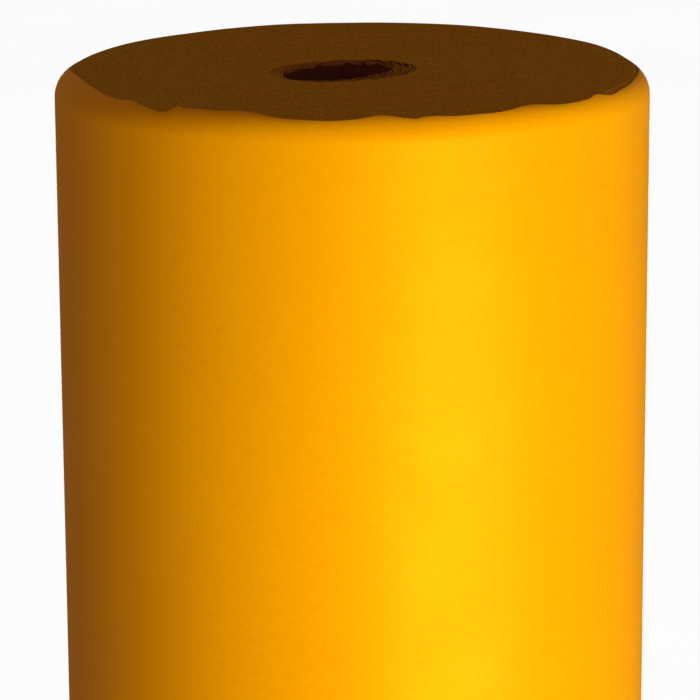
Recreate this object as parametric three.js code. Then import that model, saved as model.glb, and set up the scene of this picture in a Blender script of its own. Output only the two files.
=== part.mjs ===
// A roll of self-adhesive sign vinyl, standing on its end.
//
// The web is yellow vinyl film on a brown release liner. It is wound on a paper tube, colour outwards.
// Units are millimetres, +Z runs up the roll's axis, and the origin is the centre of the bottom end.
// Angles are degrees round the axis from +X, counter-clockwise seen from above, so the front is 270.
// The web's last turn ends in a free tail at the back, which peels away from the roll.

import * as THREE from "three";

// Driving dimensions
const WEB_WIDTH = 610;
const ROLL_RADIUS = 75;
const SHOULDER_RADIUS = 7.35; // the rim of each end is rounded by this much
const SHEET = 0.25; // drawn thickness of the film, and of the liner
const GAP = 0.3; // drawn space between neighbouring pieces
const CORE_BORE_RADIUS = 12.7;
const PLY = 0.8; // one paper ply of the core
const EYE_DEPTH = 23; // the core stops this far below the top end
const TAIL_START = 70; // the hinge line where the tail lifts
const TAIL_END = 116; // the web's cut end
const STEP = 6; // angle between neighbouring sections

// Worked out from them
const WEB = 2 * (SHEET + GAP); // the last turn's film and liner, with their gaps
const SHOULDER_CENTRE = ROLL_RADIUS - SHOULDER_RADIUS;
const CORE_TOP = WEB_WIDTH - EYE_DEPTH;
const CORE_RADIUS = CORE_BORE_RADIUS + 3 * PLY + 2 * GAP;
const TAPE_RADIUS = CORE_RADIUS + GAP;
const START_TAPE = 0.3;
const WOUND_BORE_RADIUS = TAPE_RADIUS + START_TAPE + GAP;
const HINGE_HALF_GAP = THREE.MathUtils.radToDeg(GAP / 2 / ROLL_RADIUS);

const material = (color, roughness) => new THREE.MeshStandardMaterial({ color, roughness, metalness: 0 });
const FILM = material(0xffb300, 0.45);
const LINER = material(0xb98a4e, 0.8);
const WOUND = material(0x8a5410, 0.7);
const PAPER = material(0xa98559, 0.9);
const TAPE = material(0xe9dfc0, 0.35);

const roll = new THREE.Group();

function add(name, geometry, paint, height = 0) {
  const mesh = new THREE.Mesh(geometry, paint);
  mesh.name = name;
  mesh.position.z = height;
  roll.add(mesh);
}

const polar = (radius, degrees) => {
  const angle = THREE.MathUtils.degToRad(degrees);
  return new THREE.Vector2(radius * Math.cos(angle), radius * Math.sin(angle));
};

const range = (count) => Array.from({ length: count + 1 }, (_, i) => i / count);

// ---- Where the web's edges lie ----

// The cut edge of the last turn rides over the rounded rim. Each ripple lifts or drops it near one angle:
// [angle, rise in degrees of shoulder arc, half width in degrees].
const TOP_RIPPLES = [
  [193, 42, 20],
  [243, 11, 12],
  [266, -9, 7],
  [274, 6, 4],
  [305, 11, 6],
  [331, -6, 6],
  [12, 5, 14],
  [48, -7, 10],
  [92, 6, 12],
  [135, -6, 14],
];
const BOTTOM_RIPPLES = [
  [20, 6, 15],
  [75, -5, 12],
  [128, 7, 16],
  [190, -6, 14],
  [236, 5, 12],
  [288, -5, 15],
  [330, 6, 12],
];
const EDGE_ARC = 46; // where the edge lies between ripples, in degrees of shoulder arc

function edgeArc(ripples, degrees) {
  return ripples.reduce((arc, [angle, rise, width]) => {
    const away = THREE.MathUtils.euclideanModulo(degrees - angle + 180, 360) - 180;
    return arc + rise * Math.exp(-((away / width) ** 2));
  }, EDGE_ARC);
}

// The last turn starts one web thickness in, under the tail, and climbs over that step past the tail's end.
const CLIMB_START = TAIL_END + 22;
const CLIMB_END = CLIMB_START + 26;
const stepDepth = (degrees) => WEB * (1 - THREE.MathUtils.smoothstep(degrees, CLIMB_START, CLIMB_END));

// Points over the shoulder from arc angle a to b, for a surface this far out from the shoulder's centre.
function shoulder(out, a, b, end, steps) {
  return range(steps).map((t) => {
    const arc = THREE.MathUtils.degToRad(THREE.MathUtils.lerp(a, b, t));
    const rise = SHOULDER_RADIUS - out * Math.sin(arc);
    return [SHOULDER_CENTRE + out * Math.cos(arc), end === "top" ? WEB_WIDTH - rise : rise];
  });
}

// ---- Solids swept round the axis ----

// sectionAt(degrees) gives the closed outline [radius, height] of the solid at that angle, counter-clockwise
// with the radius to the right. A ring joins its last section to its first, and a strip has an end face on each.
function sweep(sectionAt, angles, isRing) {
  const sections = angles.map(sectionAt);
  const size = sections[0].length;
  const position = sections.flatMap((section, i) =>
    section.flatMap(([radius, height]) => [...polar(radius, angles[i]).toArray(), height]),
  );
  const index = [];
  const spans = isRing ? sections.length : sections.length - 1;
  for (let i = 0; i < spans; i++) {
    const next = (i + 1) % sections.length;
    for (let j = 0; j < size; j++) {
      const up = (j + 1) % size;
      const [a, b, c, d] = [i * size + j, i * size + up, next * size + up, next * size + j];
      index.push(a, d, c, a, c, b);
    }
  }
  if (!isRing) {
    const last = (sections.length - 1) * size;
    const faceOf = (section) => {
      const outline = section.map(([x, y]) => new THREE.Vector2(x, y));
      return THREE.ShapeUtils.triangulateShape(outline, []);
    };
    faceOf(sections[0]).forEach(([a, b, c]) => index.push(a, b, c));
    faceOf(sections.at(-1)).forEach(([a, b, c]) => index.push(last + c, last + b, last + a));
  }
  const geometry = new THREE.BufferGeometry();
  geometry.setAttribute("position", new THREE.Float32BufferAttribute(position, 3));
  geometry.setIndex(index);
  geometry.computeVertexNormals();
  return geometry;
}

const anglesBetween = (from, to) => {
  const steps = Math.round((to - from) / STEP);
  return range(steps).map((t) => THREE.MathUtils.lerp(from, to, t));
};

// ---- Core ----

function corePly(inner) {
  const outline = [
    [inner, 1],
    [inner + PLY, 1],
    [inner + PLY, CORE_TOP],
    [inner, CORE_TOP],
    [inner, 1],
  ];
  const geometry = new THREE.LatheGeometry(outline.map(([x, y]) => new THREE.Vector2(x, y)), 36);
  return geometry.rotateX(Math.PI / 2);
}

["core_inner_ply", "core_middle_ply", "core_outer_ply"].forEach((name, i) => {
  add(name, corePly(CORE_BORE_RADIUS + i * (PLY + GAP)), PAPER);
});

// A thin band in plan, from a list of [radius, degrees], drawn up to a height.
function band(line, thickness, height) {
  const outer = line.map(([radius, degrees]) => polar(radius + thickness, degrees));
  const inner = line.map(([radius, degrees]) => polar(radius, degrees)).reverse();
  return new THREE.ExtrudeGeometry(new THREE.Shape([...outer, ...inner]), { depth: height, bevelEnabled: false });
}

// The strip that holds the web's first turn to the core
const START_TAPE_ARC = 90;
const START_TAPE_MARGIN = 20;
const startTapeLine = range(10).map((t) => [TAPE_RADIUS, t * START_TAPE_ARC]);
const startTapeLength = CORE_TOP - 2 * START_TAPE_MARGIN;
add("start_tape", band(startTapeLine, START_TAPE, startTapeLength), TAPE, START_TAPE_MARGIN);

// ---- Wound web ----

// All the turns under the last one, as one body. Its top is a shallow dish, with the eye's hole above the core.
const FLAT_RADIUS = 62; // the bottom end is flat inside this radius
const DISH = [
  [FLAT_RADIUS, 0.5],
  [42, 1.2],
  [27, 2],
]; // [radius, depth below the web's width]
const EYE_HOLE = { radius: 18.6, x: -2.2, y: -1.4 }; // the wound web's own hole above the core, off centre
const EYE_HOLE_DEPTH = 2.4;
const EYE_FLOOR = CORE_TOP + GAP;

// How far from the axis a circle round another centre lies, at an angle round the axis
function reach({ radius, x, y }, degrees) {
  const direction = polar(1, degrees);
  const centre = new THREE.Vector2(x, y);
  return centre.dot(direction) + Math.sqrt(radius ** 2 - centre.cross(direction) ** 2);
}

function woundSection(degrees) {
  const out = SHOULDER_RADIUS - WEB - stepDepth(degrees);
  const eye = reach(EYE_HOLE, degrees);
  return [
    [WOUND_BORE_RADIUS, 0],
    [FLAT_RADIUS, 0],
    ...shoulder(out, 90, 0, "bottom", 3),
    ...shoulder(out, 0, 90, "top", 3),
    ...DISH.map(([radius, depth]) => [radius, WEB_WIDTH - depth]),
    [eye, WEB_WIDTH - EYE_HOLE_DEPTH],
    [eye, EYE_FLOOR],
    [WOUND_BORE_RADIUS, EYE_FLOOR],
  ];
}

add("wound_web", sweep(woundSection, anglesBetween(TAIL_START, TAIL_START + 360 - STEP), true), WOUND);

// The first turns have no core inside them at the top, so they have sprung in and form the roll's eye, off centre.
// One ring stands for them. It is thinnest at the front left, and a pleated outline bounds the eye.
const EYE_INNER = { radius: 13.7, x: -3.2, y: -2.2 };
const EYE_OUTER = { ...EYE_HOLE, radius: EYE_HOLE.radius - GAP };
const EYE_PLEATS = 9;
const EYE_PLEAT_DEPTH = 0.35;
const EYE_TOP_DEPTH = 3;

const eyeOutline = ({ radius, x, y }, pleatDepth) =>
  range(48)
    .slice(1)
    .map((t) => {
      const pleat = pleatDepth * Math.sin(2 * Math.PI * EYE_PLEATS * t);
      return polar(radius + pleat, 360 * t).add(new THREE.Vector2(x, y));
    });

const eyeRing = new THREE.Shape(eyeOutline(EYE_OUTER, 0));
eyeRing.holes.push(new THREE.Path(eyeOutline(EYE_INNER, EYE_PLEAT_DEPTH)));
const eyeHeight = WEB_WIDTH - EYE_TOP_DEPTH - EYE_FLOOR - GAP;
const eyeGeometry = new THREE.ExtrudeGeometry(eyeRing, { depth: eyeHeight, bevelEnabled: false });
add("inner_turns", eyeGeometry, WOUND, EYE_FLOOR + GAP);

// ---- Last turn and tail ----

// One sheet of the last turn: depth is how far its outer face lies under the roll's surface.
const sheetSection = (depth, stepAt) => (degrees) => {
  const outer = SHOULDER_RADIUS - depth - stepAt(degrees);
  const inner = outer - SHEET;
  const top = edgeArc(TOP_RIPPLES, degrees);
  const bottom = edgeArc(BOTTOM_RIPPLES, degrees);
  return [
    ...shoulder(outer, bottom, 0, "bottom", 3),
    ...shoulder(outer, 0, top, "top", 3),
    ...shoulder(inner, top, 0, "top", 3),
    ...shoulder(inner, 0, bottom, "bottom", 3),
  ];
};

const turnAngles = anglesBetween(TAIL_START + HINGE_HALF_GAP, TAIL_START + 360 - HINGE_HALF_GAP);
const tailAngles = anglesBetween(TAIL_START + HINGE_HALF_GAP, TAIL_END);
const onSurface = () => 0;
const LAYERS = [
  ["film", 0, FILM],
  ["liner", SHEET + GAP, LINER],
];
for (const [layer, depth, paint] of LAYERS) {
  add(`last_turn_${layer}`, sweep(sheetSection(depth, stepDepth), turnAngles, false), paint);
  add(`tail_${layer}`, sweep(sheetSection(depth, onSurface), tailAngles, false), paint);
}

// ---- Closing tapes ----

// Each tab is stuck on the tail and runs down over its cut end onto the turn below.
const TAB_THICKNESS = 0.2;
const TAB_WIDTH = 25;
const TAB_ON_TAIL = 13; // degrees of the tab that lie on the tail
const TAB_ON_ROLL = 17;
const high = ROLL_RADIUS + GAP;
const low = high - WEB;
const tabLine = [
  ...range(5).map((t) => [high, TAIL_END + 0.4 - TAB_ON_TAIL * (1 - t)]),
  ...range(6).map((t) => [low, TAIL_END + 1.4 + TAB_ON_ROLL * t]),
];
const TABS = [
  ["closing_tape_bottom", 0.14],
  ["closing_tape_middle", 0.5],
  ["closing_tape_top", 0.86],
];
for (const [name, share] of TABS) {
  add(name, band(tabLine, TAB_THICKNESS, TAB_WIDTH), TAPE, share * WEB_WIDTH - TAB_WIDTH / 2);
}

export default roll;
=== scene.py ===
# The looks of a roll of sign vinyl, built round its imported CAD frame.
#
# Shapes are worked out in millimetres and become metres where a mesh is made. Angles are degrees round
# the roll's axis from +X, counter-clockwise seen from above, so the front is 270.

import math

import bpy
import numpy as np
from mathutils import Euler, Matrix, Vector


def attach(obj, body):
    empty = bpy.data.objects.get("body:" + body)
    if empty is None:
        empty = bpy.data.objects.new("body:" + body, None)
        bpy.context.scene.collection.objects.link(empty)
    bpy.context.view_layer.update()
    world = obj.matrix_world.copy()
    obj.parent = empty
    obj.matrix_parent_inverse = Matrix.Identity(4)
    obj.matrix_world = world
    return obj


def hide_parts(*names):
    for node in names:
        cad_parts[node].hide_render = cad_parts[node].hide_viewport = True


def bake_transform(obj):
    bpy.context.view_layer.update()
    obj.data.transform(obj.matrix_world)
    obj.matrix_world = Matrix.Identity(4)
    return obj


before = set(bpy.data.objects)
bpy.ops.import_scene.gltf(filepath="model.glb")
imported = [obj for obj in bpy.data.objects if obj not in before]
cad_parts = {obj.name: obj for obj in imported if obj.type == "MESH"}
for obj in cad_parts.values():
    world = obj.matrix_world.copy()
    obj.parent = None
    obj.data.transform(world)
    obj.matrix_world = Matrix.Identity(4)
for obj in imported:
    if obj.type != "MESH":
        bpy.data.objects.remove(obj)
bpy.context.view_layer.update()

MM = 0.001

# Sizes that the CAD model sets
WEB_WIDTH = 610
ROLL_RADIUS = 75
SHOULDER_RADIUS = 7.35  # the rim of each end is rounded by this much
SHOULDER_CENTRE = ROLL_RADIUS - SHOULDER_RADIUS
TAIL_START = 70  # the hinge line where the tail lifts
TAIL_END = 116  # the web's cut end
CORE_BORE_RADIUS = 12.7
CORE_BOTTOM = 1
CORE_TOP = 587
WOUND_BORE_RADIUS = 16.3
EYE_HOLE = (18.6, -2.2, -1.4)  # radius and centre of the wound web's hole above the core
EYE_INNER = (13.7, -3.2, -2.2)  # radius and centre of the eye, inside the turns that have sprung in

# Real thicknesses, which the CAD model draws thicker and further apart
FILM = 0.12
GLUE_LINE = 0.01
LINER = 0.2
PITCH = 0.36  # one turn of film and liner
FILM_SHARE = 0.35  # how much of a turn's cut edge shows film


# ---- Meshes ----


def polar(radius, degrees, height):
    """Points from radius, angle and height, which are arrays of one shape."""
    angle = np.radians(degrees)
    radius, angle, height = np.broadcast_arrays(radius, angle, height)
    return np.stack([radius * np.cos(angle), radius * np.sin(angle), height], axis=-1)


def make_object(name, points, faces, kinds, materials, smooth_angle=35):
    """A mesh object from millimetre points. kinds gives each face's place in the list of materials."""
    mesh = bpy.data.meshes.new(name)
    mesh.from_pydata((points.reshape(-1, 3) * MM).tolist(), [], faces.tolist())
    for material in materials:
        mesh.materials.append(material)
    mesh.polygons.foreach_set("material_index", np.asarray(kinds, np.int32))
    mesh.polygons.foreach_set("use_smooth", np.ones(len(faces), bool))
    mesh.update()
    mesh.set_sharp_from_angle(angle=math.radians(smooth_angle))
    obj = bpy.data.objects.new(name, mesh)
    bpy.context.scene.collection.objects.link(obj)
    return obj


def grid_faces(rows):
    """Quads over a grid of vertex numbers, facing along (first axis) x (second axis)."""
    corners = rows[:-1, :-1], rows[1:, :-1], rows[1:, 1:], rows[:-1, 1:]
    return np.stack([c.ravel() for c in corners], axis=1)


def sheet_object(name, front, back, materials):
    """A closed sheet between two grids of points. Its materials are for its front, back and cut edges."""
    count = front.shape[0] * front.shape[1]
    outer = np.arange(count).reshape(front.shape[:2])
    inner = outer + count
    top = np.stack([outer[:, -1], inner[:, -1]], axis=1)
    bottom = np.stack([inner[:, 0], outer[:, 0]], axis=1)
    start = np.stack([inner[0], outer[0]], axis=0)
    end = np.stack([outer[-1], inner[-1]], axis=0)
    parts = [
        (grid_faces(outer), 0),
        (grid_faces(inner)[:, ::-1], 1),
        (grid_faces(top), 2),
        (grid_faces(bottom), 2),
        (grid_faces(start), 2),
        (grid_faces(end), 2),
    ]
    faces = np.concatenate([part for part, _ in parts])
    kinds = np.concatenate([np.full(len(part), kind) for part, kind in parts])
    return make_object(name, np.stack([front, back]), faces, kinds, materials)


def ring_object(name, points, kinds, materials, smooth_angle=35):
    """A closed ring: one closed outline of points for each angle. kinds gives each side of it a material."""
    count, sides = points.shape[:2]
    rows = np.arange(count * sides).reshape(count, sides)
    rows = np.concatenate([rows, rows[:1]])
    rows = np.concatenate([rows, rows[:, :1]], axis=1)
    return make_object(name, points, grid_faces(rows), np.tile(kinds, count), materials, smooth_angle)


def smoothstep(x, low, high):
    t = np.clip((x - low) / (high - low), 0, 1)
    return t * t * (3 - 2 * t)


def bumps(degrees, ripples):
    """A sum of smooth bumps round the roll, each given as (angle, height, half width in degrees)."""
    total = np.zeros_like(degrees, dtype=float)
    for angle, height, width in ripples:
        away = (degrees - angle + 180) % 360 - 180
        total += height * np.exp(-((away / width) ** 2))
    return total


# ---- Materials ----


class Nodes:
    """A material's node tree, with short calls to add and link nodes."""

    def __init__(self, name):
        self.material = bpy.data.materials.new(name)
        self.material.use_nodes = True
        self.tree = self.material.node_tree
        self.shader = self.tree.nodes["Principled BSDF"]
        self.coordinates = self.add("ShaderNodeTexCoord").outputs["Object"]

    def add(self, kind, inputs=(), **settings):
        node = self.tree.nodes.new(kind)
        for key, value in settings.items():
            setattr(node, key, value)
        for key, value in dict(inputs).items():
            self.put(node, key, value)
        return node

    def put(self, node, key, value):
        if isinstance(value, bpy.types.NodeSocket):
            self.tree.links.new(value, node.inputs[key])
        else:
            node.inputs[key].default_value = value

    def math(self, operation, *values):
        return self.add("ShaderNodeMath", dict(enumerate(values)), operation=operation).outputs[0]

    def noise(self, scale, detail=3.0, roughness=0.5, vector=None):
        inputs = {"Scale": scale, "Detail": detail, "Roughness": roughness}
        inputs["Vector"] = vector or self.coordinates
        return self.add("ShaderNodeTexNoise", inputs).outputs["Fac"]

    def stretched(self, scale):
        """Object coordinates scaled by a different amount along each axis."""
        return self.add("ShaderNodeMapping", {"Vector": self.coordinates, "Scale": scale}).outputs[0]

    def remap(self, value, low, high, to_low, to_high):
        inputs = {"Value": value, "From Min": low, "From Max": high, "To Min": to_low, "To Max": to_high}
        return self.add("ShaderNodeMapRange", inputs).outputs[0]

    def mix(self, share, a, b):
        node = self.add("ShaderNodeMix", data_type="RGBA")
        for key, value in ((0, share), (6, a), (7, b)):
            self.put(node, key, value)
        return node.outputs[2]

    def bump(self, height, distance, strength=1.0, normal=None):
        inputs = {"Height": height, "Distance": distance, "Strength": strength}
        if normal:
            inputs["Normal"] = normal
        return self.add("ShaderNodeBump", inputs).outputs[0]

    def finish(self, **sockets):
        for key, value in sockets.items():
            self.put(self.shader, key.replace("_", " "), value)
        return self.material


def colour(r, g, b):
    return (r, g, b, 1.0)


def vinyl_film():
    """Satin yellow film: nearly even, with faint clouds and blotches and the fine grain of cast vinyl."""
    n = Nodes("vinyl_film")
    cloud = n.noise(9, 2)
    blotch = n.noise(1, 4, 0.65, n.stretched((600, 600, 900)))
    tone = n.mix(n.remap(cloud, 0.35, 0.65, 0, 1), colour(0.93, 0.33, 0.0), colour(0.96, 0.355, 0.0))
    tone = n.mix(n.remap(blotch, 0.35, 0.65, 0, 0.2), tone, colour(0.99, 0.4, 0.0))
    tone = n.mix(n.remap(blotch, 0.55, 0.3, 0, 0.2), tone, colour(0.84, 0.27, 0.0))
    grain = n.noise(2600, 2)
    ripple = n.noise(1, 2, vector=n.stretched((14, 14, 60)))
    normal = n.bump(grain, 0.00001, 0.35)
    normal = n.bump(ripple, 0.0002, 0.15, normal)
    rough = n.remap(n.noise(40, 3), 0.3, 0.7, 0.42, 0.5)
    sheen = {"Specular_IOR_Level": 0.4, "Specular_Tint": colour(1.0, 0.78, 0.03)}
    return n.finish(Base_Color=tone, Roughness=rough, Normal=normal, **sheen)


def kraft(name, dark, light, roughness):
    """Brown paper: short fibres along the web, with mottling."""
    n = Nodes(name)
    fibres = n.noise(1, 4, 0.6, n.stretched((900, 900, 160)))
    mottle = n.noise(60, 3)
    share = n.math("ADD", n.math("MULTIPLY", fibres, 0.6), n.math("MULTIPLY", mottle, 0.4))
    tone = n.mix(n.remap(share, 0.35, 0.65, 0, 1), dark, light)
    return n.finish(Base_Color=tone, Roughness=roughness, Normal=n.bump(fibres, 0.00004, 0.4))


def wound_edges():
    """Stacked cut edges: each turn has its own shade of film and liner, over broad bands, grain and dust."""
    n = Nodes("wound_edges")
    place = n.add("ShaderNodeSeparateXYZ", {0: n.coordinates}).outputs
    squares = [n.math("POWER", along, 2.0) for along in (place[0], place[1])]
    radius = n.math("SQRT", n.math("ADD", *squares))
    round_axis = n.math("DIVIDE", n.math("ARCTAN2", place[1], place[0]), 2 * math.pi)
    turn = n.math("ADD", n.math("DIVIDE", radius, PITCH * MM), round_axis)
    whole_turn = n.math("FLOOR", turn)
    shade = n.add("ShaderNodeTexWhiteNoise", {"W": whole_turn}, noise_dimensions="1D").outputs["Value"]
    film = n.math("LESS_THAN", n.math("FRACT", turn), FILM_SHARE)
    outward = n.add("ShaderNodeCombineXYZ", {0: n.math("MULTIPLY", radius, 260.0)}).outputs[0]
    band = n.noise(1, 3, 0.6, outward)
    dust = n.noise(180, 4, 0.6)
    grain = n.noise(1500, 3, 0.6)
    base = n.mix(n.remap(band, 0.3, 0.7, 0, 1), colour(0.57, 0.24, 0.016), colour(0.63, 0.272, 0.018))
    base = n.mix(n.math("MULTIPLY", film, 0.2), base, colour(0.74, 0.34, 0.006))
    base = n.mix(n.remap(shade, 0, 1, 0.0, 0.12), base, colour(0.3, 0.12, 0.01))
    base = n.mix(n.remap(dust, 0.45, 0.7, 0.0, 0.15), base, colour(0.62, 0.26, 0.05))
    base = n.mix(n.remap(grain, 0.42, 0.58, 0.6, 0.0), base, colour(0.3, 0.1, 0.008))
    normal = n.bump(grain, 0.00008, 0.5)
    return n.finish(Base_Color=base, Roughness=0.8, Normal=normal, Specular_IOR_Level=0.12)


def core_board():
    """Raw grey-brown board with long fibres."""
    n = Nodes("core_board")
    fibres = n.noise(1, 5, 0.65, n.stretched((500, 500, 120)))
    specks = n.noise(1400, 2)
    tone = n.mix(n.remap(fibres, 0.35, 0.65, 0, 1), colour(0.27, 0.17, 0.09), colour(0.42, 0.29, 0.17))
    tone = n.mix(n.remap(specks, 0.6, 0.75, 0, 0.6), tone, colour(0.16, 0.1, 0.06))
    return n.finish(Base_Color=tone, Roughness=0.92, Normal=n.bump(fibres, 0.00008, 0.5))


def masking_tape():
    """Pale creped paper tape, a little see-through and patchy where its glue wets the film."""
    n = Nodes("masking_tape")
    wet = n.noise(110, 4, 0.6)
    tone = n.mix(n.remap(wet, 0.4, 0.65, 0, 1), colour(0.74, 0.56, 0.27), colour(0.82, 0.68, 0.4))
    fibres = n.noise(1800, 3)
    return n.finish(Base_Color=tone, Roughness=0.62, Normal=n.bump(fibres, 0.00003, 0.4))


def studio_floor():
    """Plain pale floor."""
    n = Nodes("studio_floor")
    tone = n.mix(n.remap(n.noise(2, 2), 0.3, 0.7, 0, 1), colour(0.8, 0.8, 0.8), colour(0.81, 0.81, 0.81))
    return n.finish(Base_Color=tone, Roughness=0.9)


FILM_MATERIAL = vinyl_film()
LINER_MATERIAL = kraft("liner_paper", colour(0.3, 0.17, 0.06), colour(0.42, 0.25, 0.1), 0.6)
# The liner in the eye is painted shade: its near-black brown stands for the shade down inside the eye's
# hole, not for a darker paper.
PAINTED_SHADE_LINER = kraft("liner_painted_shade_in_the_eye", colour(0.13, 0.02, 0.03), colour(0.18, 0.03, 0.045), 0.85)
EDGE_MATERIAL = wound_edges()
CORE_MATERIAL = core_board()
TAPE_MATERIAL = masking_tape()

# ---- Last turn and tail ----

# The web's cut edge is bent in over the rounded rim. It lies at this arc of the shoulder, and each ripple
# lifts or drops it: (angle, rise in degrees of shoulder arc, half width).
EDGE_ARC = 48
TOP_RIPPLES = [
    (196, 27, 19), (222.5, 8, 3), (231.5, -7, 2.5), (234.6, 11, 1.1), (238.5, 12, 5), (248.5, 17, 6),
    (265, -2, 4), (275.6, 12, 3.6), (281.9, -2.5, 0.9), (285, 5, 3), (293, 1.5, 7), (306.3, 12, 5),
    (325, 7, 2.2), (330.5, -4, 3), (349, 5, 8), (8, 5, 9), (26, -4, 6), (48, 7, 8), (66, -5, 6),
    (85, 8, 50), (92, 6, 7), (106, -4, 5), (128, 8, 8), (147, -4, 6),
]
BOTTOM_RIPPLES = [
    (20, 6, 9), (45, -4, 6), (75, -6, 8), (102, 5, 6), (128, 8, 10), (160, -5, 7), (190, -7, 9), (214, 6, 5),
    (236, 5, 8), (262, -4, 6), (288, -6, 9), (310, 7, 5), (330, 6, 8), (350, -5, 6),
]
LIP_ROWS = np.linspace(0, 1, 15)
PRESSED_IN = 0.17  # the cut edge is pressed in this much more than the rim's round, at most
TENSION_LINE_HEIGHT = 0.016
TENSION_LINE_SPACING = 9.5
TENSION_LINE_FADE = 30  # they fade over this distance from each end
SAG = 0.02  # the side swells and sinks by this much halfway up
BEND_LENGTH = 12  # a length past the hinge line

# Heights of the rows of points up the side, between the rounded rims
SIDE_LEVELS = np.concatenate([
    np.linspace(SHOULDER_RADIUS + 0.8, 34, 16),
    np.linspace(44, WEB_WIDTH - 44, 14),
    np.linspace(WEB_WIDTH - 34, WEB_WIDTH - SHOULDER_RADIUS - 0.8, 20),
])

# Angles along the last turn are counted on past 360. It starts under the tail, and the film and the liner
# are each cut into a turn and a tail piece just before the hinge line, where both still lie on the roll.
TURN_START = 50
TAIL_PIECE_START = 360 + 60
WEB_END = 360 + TAIL_END
TURN_ANGLES = np.linspace(TURN_START, TAIL_PIECE_START, 494)
TAIL_ANGLES = np.linspace(TAIL_PIECE_START, WEB_END, 113)


def spiral_depth(degrees):
    """How far the web's outer face lies under the roll's surface, because later turns lie on it."""
    return PITCH * (WEB_END - degrees) / 360


def film_waves(degrees, height):
    """The web's side isn't quite even: faint tension lines near its edges and a slow sag round the roll."""
    angle = np.radians(degrees)
    from_end = np.minimum(height, WEB_WIDTH - height)
    wander = 1.8 * np.sin(2 * angle + 0.6)
    lines = TENSION_LINE_HEIGHT * np.sin(2 * np.pi * height / TENSION_LINE_SPACING + wander)
    lines = lines * np.exp(-from_end / TENSION_LINE_FADE)
    sag = SAG * np.sin(3 * angle + 1.1) * np.sin(np.pi * height / WEB_WIDTH)
    return (lines + sag) * smoothstep(from_end, SHOULDER_RADIUS, SHOULDER_RADIUS + 8)


def web_lip(degrees, under, ripples):
    """Radius and distance from the end for one face of the web where it bends in over the rim."""
    edge = EDGE_ARC + bumps(degrees, ripples)
    arc = np.radians(edge[:, None] * LIP_ROWS)
    pressed = PRESSED_IN * (0.7 + 0.3 * np.sin(np.radians(degrees * 13)))
    out = (SHOULDER_RADIUS - spiral_depth(degrees) - under)[:, None] - pressed[:, None] * LIP_ROWS**6
    return SHOULDER_CENTRE + out * np.cos(arc), SHOULDER_RADIUS - out * np.sin(arc)


def web_face(degrees, under):
    """One face of the last turn, this far under the web's outer face: a grid of points, bottom to top."""
    low_radius, low = web_lip(degrees, under, BOTTOM_RIPPLES)
    high_radius, high = web_lip(degrees, under, TOP_RIPPLES)
    level = np.broadcast_to(SIDE_LEVELS, (len(degrees), len(SIDE_LEVELS)))
    even_radius = (ROLL_RADIUS - spiral_depth(degrees) - under)[:, None]
    side_radius = even_radius + film_waves(degrees[:, None], level)
    radius = np.concatenate([low_radius[:, ::-1], side_radius, high_radius], axis=1)
    height = np.concatenate([low[:, ::-1], level, WEB_WIDTH - high], axis=1)
    return polar(radius, degrees[:, None], height)


def web_layer(name, degrees, under, thickness, materials):
    return sheet_object(name, web_face(degrees, under), web_face(degrees, under + thickness), materials)


def make_last_turn():
    """The film and the liner of the last turn, and of the tail past the hinge line."""
    film_kinds = [FILM_MATERIAL, LINER_MATERIAL, FILM_MATERIAL]
    liner_kinds = [LINER_MATERIAL] * 3
    hinge = Vector(polar(ROLL_RADIUS, TAIL_START, 0)) * MM
    along = Vector(polar(BEND_LENGTH, TAIL_START + 90, 0)) * MM
    layers = [("film", 0, FILM, film_kinds), ("liner", FILM + GLUE_LINE, LINER, liner_kinds)]
    for layer, under, thickness, materials in layers:
        turn = web_layer(f"{layer}_of_last_turn", TURN_ANGLES, under, thickness, materials)
        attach(turn, "roll")
        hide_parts(f"last_turn_{layer}")
        tail = web_layer(f"{layer}_of_tail", TAIL_ANGLES, under, thickness, materials)
        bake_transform(tail)
        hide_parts(f"tail_{layer}")


# ---- Wound web ----

RIDGE = 2 * PITCH  # two turns show as one ridge on the ends
RIDGE_SHARES = (-0.5, -0.3, 0.3)  # groove, and the two sides of the ridge's top
LIP_ROOM = 0.6  # where the last turn's lip covers the turns, they lie this far under the roll's surface
LIP_REACH = SHOULDER_RADIUS - LIP_ROOM
SIDE_ROOM = 0.1  # and between the rims, this much further
SIDE_MARGIN = 1  # the straight side starts this far past each rounded rim
HIDDEN_ARC = 30  # the ends' ridges start at this arc of the shoulder, under the lip

# The top end. Past the lip, it lies at a level below the roll's full length, and it dips towards the eye.
TOP_LEVEL = 0.8  # the depth of that level at the axis
TOP_SLOPE = (0.0046, 0.0122)  # it rises by this much along +X and +Y, because the turns have crept
LEVEL_LENGTH = 1.1  # it comes to that level over about this length, which is shorter at the back
DISH_DEPTH = 1.0  # it dips this much more at the eye
LEAN, LEAN_SIDE = 0.7, 150  # the dip leans: it is this much lower on the side at this angle
INNER_RISE = 0.15  # the inner turns' edges stand up this much more than the outer ones'
INNER_RISE_PLACE = (0.55, 0.57)  # where that rise is, as shares of the way from the rim to the eye
GROOVE_DEPTH = 0.09  # between neighbouring ridges
WOUND_ANGLES = np.linspace(0, 360, 201)[:-1]

SPRUNG_TURNS = 12
SPRUNG_PITCH = (EYE_HOLE[0] - EYE_INNER[0]) / SPRUNG_TURNS
EYE_FLOOR = CORE_TOP + 0.3  # the wide hole starts here, just above the core
EYE_WALL_TOP = WEB_WIDTH - 3.5
EYE_WALL_ROWS = 6
BORE_BOTTOM = 0.5  # the narrow bore's wall starts this far above the bottom end


def reach(circle, degrees):
    """How far from the roll's axis a circle round another centre lies, at an angle round the axis."""
    radius, x, y = circle
    angle = np.radians(degrees)
    along = x * np.cos(angle) + y * np.sin(angle)
    across = x * np.sin(angle) - y * np.cos(angle)
    return along + np.sqrt(radius**2 - across**2)


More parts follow.
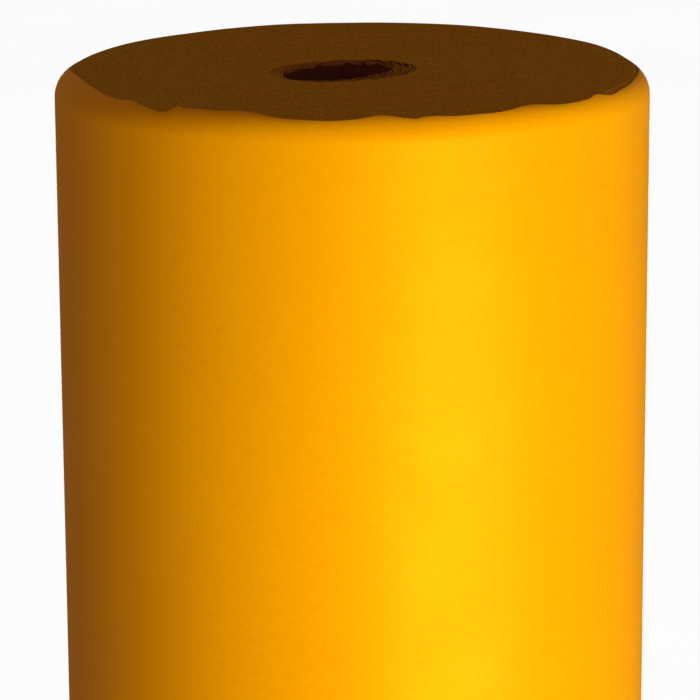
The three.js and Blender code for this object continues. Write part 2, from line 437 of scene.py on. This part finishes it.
def eye_reach(degrees):
    """The wound web's hole above the core: a spiral, like the turns that have sprung in from it."""
    return reach(EYE_HOLE, degrees) - SPRUNG_PITCH * (1 - degrees / 360)


def top_depth(degrees, radius):
    """How far below the roll's full length its top end lies, clear of the lip."""
    angle = np.radians(degrees)
    slope = radius * (TOP_SLOPE[0] * np.cos(angle) + TOP_SLOPE[1] * np.sin(angle))
    inward = np.clip((SHOULDER_CENTRE - radius) / (SHOULDER_CENTRE - EYE_HOLE[0]), 0, 1.2)
    lean = DISH_DEPTH + LEAN * np.cos(angle - math.radians(LEAN_SIDE))
    return TOP_LEVEL - slope + inward**1.5 * lean


def end_ridges(is_top, rng):
    """Radius and distance from the end for the turns' cut edges, from the rim inwards."""
    degrees = WOUND_ANGLES[:, None]
    lip_arc = np.radians(EDGE_ARC + bumps(degrees, TOP_RIPPLES if is_top else BOTTOM_RIPPLES))
    rim = SHOULDER_CENTRE + LIP_REACH * math.cos(math.radians(HIDDEN_ARC))
    inner = eye_reach(degrees) if is_top else WOUND_BORE_RADIUS + 0 * degrees
    count = int((rim - inner.mean()) / RIDGE)
    shares = (np.arange(count)[:, None] + 0.5 + np.array(RIDGE_SHARES)) / count
    radius = rim - (rim - inner) * shares.reshape(1, -1)
    over_rim = np.maximum(radius - SHOULDER_CENTRE, 0)
    under_lip = SHOULDER_RADIUS - np.sqrt(LIP_REACH**2 - over_rim**2)
    past_lip = np.maximum(SHOULDER_CENTRE + LIP_REACH * np.cos(lip_arc) - radius, 0)
    level = top_depth(degrees, radius) if is_top else 0 * radius
    at_lip = SHOULDER_RADIUS - LIP_REACH * np.sin(lip_arc)
    length = LEVEL_LENGTH * (1 - 0.7 * np.sin(np.radians(degrees)))
    clear = level + (at_lip - level) * np.exp(-past_lip / length)
    return radius, np.where(past_lip > 0, clear, under_lip) - ridge_heights(count, is_top, rng)


def ridge_heights(count, is_top, rng):
    """How far each ridge stands up: turns wander a little, singly and in groups, and none is quite level."""
    single = rng.normal(0, 0.02, count)
    groups = 0.04 * np.sin(np.arange(count) / 3.1 + rng.uniform(0, 6)) * rng.uniform(0, 1, count)
    waves = rng.uniform(0, 0.04, count)
    phase = rng.uniform(0, 2 * np.pi, count)
    lobes = rng.integers(1, 4, count)
    angle = np.radians(WOUND_ANGLES)[:, None]
    top = single + groups + waves * np.sin(lobes * angle + phase)
    if is_top:
        rise_start, rise_end = np.array(INNER_RISE_PLACE) * count
        top = top + INNER_RISE * smoothstep(np.arange(count), rise_start, rise_end)
    else:
        top = np.minimum(top, 0) - 0.02
    groove = top - GROOVE_DEPTH
    return np.stack([groove, top, top], axis=-1).reshape(len(angle), -1)


def make_wound_web():
    """All the turns under the last one, as one closed ring with ridged ends."""
    rng = np.random.default_rng(24)
    top_radius, top = end_ridges(True, rng)
    low_radius, low = end_ridges(False, rng)
    ones = np.ones((len(WOUND_ANGLES), 1))
    side = (ROLL_RADIUS - LIP_ROOM - SIDE_ROOM) * ones
    side_bottom = (SHOULDER_RADIUS + SIDE_MARGIN) * ones
    eye = eye_reach(WOUND_ANGLES)[:, None] * np.ones(EYE_WALL_ROWS)
    eye_levels = np.linspace(EYE_WALL_TOP, EYE_FLOOR, EYE_WALL_ROWS) * ones
    bore = WOUND_BORE_RADIUS * ones
    outline = [  # radius and height, up the outside and down the inside
        (low_radius[:, ::-1], low[:, ::-1]),
        (side, side_bottom),
        (side, WEB_WIDTH - side_bottom),
        (top_radius, WEB_WIDTH - top),
        (eye, eye_levels),
        (bore, EYE_FLOOR * ones),
        (bore, BORE_BOTTOM * ones),
    ]
    radius = np.concatenate([part for part, _ in outline], axis=1)
    height = np.concatenate([part for _, part in outline], axis=1)
    points = polar(radius, WOUND_ANGLES[:, None], height)
    kinds = np.zeros(points.shape[1], int)
    first_eye_side = low.shape[1] + 2 + top.shape[1]
    # The eye's wall gets the liner with painted shade.
    kinds[first_eye_side:first_eye_side + EYE_WALL_ROWS] = 1
    wound = ring_object("wound_turns", points, kinds, [EDGE_MATERIAL, PAINTED_SHADE_LINER], 50)
    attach(wound, "roll")
    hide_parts("wound_web")


# ---- Sprung first turns, which form the eye ----

SPRUNG_SHEET = 0.27  # thickness of one sprung turn, film and liner together
SPRUNG_STEPS = 220  # sections a turn
SPRUNG_BOTTOM = CORE_TOP + 0.6
SPRUNG_LEVELS = np.array([0, 0.25, 0.5, 0.75, 0.9, 1])  # rows of points, as shares of the way up
PLEATS, PLEAT_DEPTH = 11, 0.35
RAGGED = 0.05  # how much the turns' edges wander up and down
LOOSE_RAGGED = 0.12  # and this much more on the loosest turn
NICKS = 55  # points of that wandering in a turn
EYE_DROP = 0.25  # the eye's edge lies this much below the ends round it
EYE_PRESS = (325, 2, 30)  # here the first turns are pushed in: angle, distance, half width
FRAYED = (22, 1, 34)  # here the turns' edges are frayed: angle, share, half width

# The first turns' crumpled edges stand up in points and drop in notches: (angle, rise, half width).
EYE_POINTS = [
    (173, 1.0, 6), (113, 0.5, 5), (99, -0.15, 4), (82, 0.95, 4), (72, -0.2, 3), (61, 0.85, 3.5),
    (45, 0.6, 4), (20, 0.3, 6), (263, -0.3, 5), (292, 0.2, 6), (318, 0.25, 8), (232, -0.15, 5),
]


def make_sprung_turns():
    """One spiral sheet, loosest at its first turn, where it is pleated and its edge is ragged."""
    rng = np.random.default_rng(5)
    t = np.linspace(0, 1, SPRUNG_TURNS * SPRUNG_STEPS + 1)  # from the first turn outwards
    degrees = 360 * SPRUNG_TURNS * t
    angle = np.radians(degrees)
    inner, outer = np.array(EYE_INNER), np.array(EYE_HOLE) - (SPRUNG_SHEET + 0.06, 0, 0)
    radius, x, y = (inner + (outer - inner) * t[:, None]).T
    loose = (1 - t) ** 2
    far = 0.5 + 0.5 * np.cos(angle - np.radians(80))
    pleats = PLEAT_DEPTH * loose * far * np.sin(PLEATS * angle + np.sin(3 * angle))
    pleats += 0.2 * loose * np.sin(2 * angle + 1)
    pleats -= loose * bumps(degrees, [EYE_PRESS])
    front = radius + SPRUNG_SHEET + pleats
    back = radius + pleats
    nicks = SPRUNG_TURNS * NICKS
    ragged = np.interp(degrees, np.linspace(0, degrees[-1], nicks), rng.normal(0, 1, nicks))
    frayed = bumps(degrees, [FRAYED]) * smoothstep(t, 0.1, 0.5)
    edge_depth = top_depth(degrees, radius) + EYE_DROP * loose + RAGGED * ragged
    edge_depth += LOOSE_RAGGED * loose * ragged - loose**3 * bumps(degrees, EYE_POINTS)
    edge_depth += frayed * (0.25 + 0.3 * ragged)
    height = SPRUNG_BOTTOM + (WEB_WIDTH - edge_depth - SPRUNG_BOTTOM)[:, None] * SPRUNG_LEVELS

    def face(distance):
        plan_x = x + distance * np.cos(angle)
        plan_y = y + distance * np.sin(angle)
        wide = np.ones(len(SPRUNG_LEVELS))
        return np.stack([plan_x[:, None] * wide, plan_y[:, None] * wide, height], axis=-1)

    # The sprung turns' faces get the liner with painted shade; their cut edges keep the wound edges' colour.
    materials = [PAINTED_SHADE_LINER, PAINTED_SHADE_LINER, EDGE_MATERIAL]
    sprung = sheet_object("sprung_first_turns", face(front), face(back), materials)
    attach(sprung, "roll")
    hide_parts("inner_turns")


# ---- Core ----

PLY = 1.06
PLY_SPACING = 1.1
STRIP_RISE = 66  # each ply is a strip that climbs this far a turn, with a hairline seam
SEAM = 0.35
CORE_STEPS = 72


def make_ply(number, name):
    """One spirally wound strip of the core, cut square at both ends."""
    turns = (CORE_TOP - CORE_BOTTOM) / STRIP_RISE + 1
    t = np.arange(int(turns * CORE_STEPS) + 1) / CORE_STEPS
    low = CORE_BOTTOM + STRIP_RISE * (t - 1)
    levels = np.clip(low[:, None] + (STRIP_RISE - SEAM) * np.linspace(0, 1, 7), CORE_BOTTOM, CORE_TOP)
    keep = levels[:, -1] - levels[:, 0] > 0.5
    levels, t = levels[keep], t[keep]
    handed = 1 if number % 2 == 0 else -1
    degrees = 360 * t[:, None] * handed + 120 * number
    inner = CORE_BORE_RADIUS + number * PLY_SPACING
    outside, inside = polar(inner + PLY, degrees, levels), polar(inner, degrees, levels)
    if handed < 0:
        outside, inside = outside[::-1], inside[::-1]
    ply = sheet_object(name + "_strip", outside, inside, [CORE_MATERIAL] * 3)
    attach(ply, "roll")
    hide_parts(name)


# ---- Closing tapes ----

TAB_WIDTH = 25
TAB_THICKNESS = 0.15
TAB_GAP = 0.03  # glue, and the hollows of the crepe
TAB_START = TAIL_END - 12.6
TAB_LENGTH = 31  # degrees round the roll
TABS = [  # name, share of the way up, tilt in degrees
    ("closing_tape_bottom", 0.14, 1.6),
    ("closing_tape_middle", 0.5, -1.1),
    ("closing_tape_top", 0.86, 0.7),
]
TOOTH = 1.6  # pitch of the tape cutter's teeth
TOOTH_DEPTH = 0.45
CREPE_HEIGHT = 0.022
CREPE_PITCH = 0.62


def make_tab(name, share, tilt):
    """A tab of creped tape over the web's cut end, with the zigzag ends that a cutter's teeth leave."""
    along = np.linspace(0, 1, 161)[:, None]
    across = np.linspace(-0.5, 0.5, 61)[None, :]
    zigzag = 2 * TOOTH_DEPTH * np.abs((across * TAB_WIDTH / TOOTH) % 1 - 0.5)
    length = np.radians(TAB_LENGTH) * ROLL_RADIUS
    place = zigzag + along * (length - 2 * zigzag)
    degrees = TAB_START + np.degrees(place / ROLL_RADIUS)
    height = share * WEB_WIDTH + across * TAB_WIDTH + math.tan(math.radians(tilt)) * (place - length / 2)
    over_end = smoothstep(degrees, TAIL_END + 0.1, TAIL_END + 1.3)
    depth = spiral_depth(degrees + 360) * (1 - over_end) + spiral_depth(degrees) * over_end
    wander = 2.2 * np.sin(height * 0.9) + np.sin(height * 2.3)
    crepe = CREPE_HEIGHT * np.sin(place * 2 * np.pi / CREPE_PITCH + wander)
    inside = ROLL_RADIUS - depth + film_waves(degrees, height) + TAB_GAP + crepe
    front = polar(inside + TAB_THICKNESS, degrees, height)
    back = polar(inside, degrees, height)
    tab = sheet_object(name + "_tab", front, back, [TAPE_MATERIAL] * 3)
    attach(tab, "tail")
    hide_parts(name)


def dress_start_tape():
    """The strip between the core and the first turn is the CAD piece itself, in tape."""
    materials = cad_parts["start_tape"].data.materials
    materials.clear()
    materials.append(TAPE_MATERIAL)


make_last_turn()
make_wound_web()
make_sprung_turns()
for number, name in enumerate(["core_inner_ply", "core_middle_ply", "core_outer_ply"]):
    make_ply(number, name)
for name, share, tilt in TABS:
    make_tab(name, share, tilt)
dress_start_tape()

# ---- Studio ----


def make_camera():
    """A long lens in front, a little above the roll's top and tipped down at it."""
    data = bpy.data.cameras.new("camera")
    data.lens = 186.3
    data.sensor_width = 36
    data.clip_start, data.clip_end = 0.05, 60
    camera = bpy.data.objects.new("camera", data)
    camera.location = Vector((-0.8, -903.2, 751.8)) * MM
    pitch, roll = math.radians(13.456), math.radians(-0.3)
    camera.rotation_mode = "QUATERNION"
    upright = Euler((math.radians(90) - pitch, 0, 0)).to_quaternion()
    camera.rotation_quaternion = upright @ Euler((0, 0, roll)).to_quaternion()
    bpy.context.scene.collection.objects.link(camera)
    bpy.context.scene.camera = camera


def area_light(name, azimuth, distance, height, size, power, tint):
    """A soft box that lights the roll from an azimuth seen from above: 0 at the front, 90 at the right."""
    data = bpy.data.lights.new(name, "AREA")
    data.shape = "RECTANGLE"
    data.size, data.size_y = size
    data.energy = power
    data.color = tint
    light = bpy.data.objects.new(name, data)
    angle = math.radians(azimuth)
    light.location = (distance * math.sin(angle), -distance * math.cos(angle), height)
    light.rotation_euler = (math.pi / 2, 0, angle)
    light.light_linking.receiver_collection = bpy.data.collections["not_the_floor"]
    bpy.context.scene.collection.objects.link(light)


def make_floor():
    """A plain pale floor. It throws no light back on the roll."""
    half = 30
    corners = [(-half, -half, 0), (half, -half, 0), (half, half, 0), (-half, half, 0)]
    mesh = bpy.data.meshes.new("floor")
    mesh.from_pydata(corners, [], [(0, 1, 2, 3)])
    mesh.materials.append(studio_floor())
    floor = bpy.data.objects.new("floor", mesh)
    bpy.context.scene.collection.objects.link(floor)
    floor.location.z = -0.0004  # just under the roll
    floor.visible_diffuse = False
    floor.visible_glossy = False
    light_floor(floor)


def light_floor(floor):
    """The floor's own sun, and the collection that keeps the soft boxes off it."""
    not_lit = bpy.data.collections.new("not_the_floor")
    not_lit.objects.link(floor)
    not_lit.collection_objects[0].light_linking.link_state = "EXCLUDE"
    data = bpy.data.lights.new("floor_light", "SUN")
    data.energy = 4.0
    data.color = (0.875, 0.921, 1)  # cancels the warmth of the light that fills the shadows
    data.angle = math.radians(60)
    sun = bpy.data.objects.new("floor_light", data)
    sun.rotation_euler = (math.radians(18), math.radians(14), 0)
    bpy.context.scene.collection.objects.link(sun)
    lit = bpy.data.collections.new("lit_by_floor_light")
    lit.objects.link(floor)
    sun.light_linking.receiver_collection = lit


def make_world():
    """White where the camera looks past the floor, and a dim even light on the roll."""
    world = bpy.data.worlds.new("studio")
    world.use_nodes = True
    bpy.context.scene.world = world
    tree = world.node_tree
    output = next(node for node in tree.nodes if node.type == "OUTPUT_WORLD")
    dim = next(node for node in tree.nodes if node.type == "BACKGROUND")
    dim.inputs["Color"].default_value = colour(1, 0.74, 0.3)
    dim.inputs["Strength"].default_value = 0.2
    white = tree.nodes.new("ShaderNodeBackground")
    white.inputs["Color"].default_value = colour(0.965, 0.965, 0.965)
    path = tree.nodes.new("ShaderNodeLightPath")
    mix = tree.nodes.new("ShaderNodeMixShader")
    tree.links.new(path.outputs["Is Camera Ray"], mix.inputs[0])
    tree.links.new(dim.outputs[0], mix.inputs[1])
    tree.links.new(white.outputs[0], mix.inputs[2])
    tree.links.new(mix.outputs[0], output.inputs["Surface"])


make_camera()
make_floor()
make_world()
area_light("key_light", 33, 1.1, 0.21, (0.85, 0.3), 17.2, (0.93, 1, 0.5))
area_light("left_light", -105, 1.1, 0.3, (0.5, 0.6), 0.25, (1, 0.75, 0.1))
area_light("back_light", 180, 1.3, 0.28, (0.6, 0.5), 9, (1, 0.95, 0.8))
bpy.context.scene.view_settings.view_transform = "Standard"
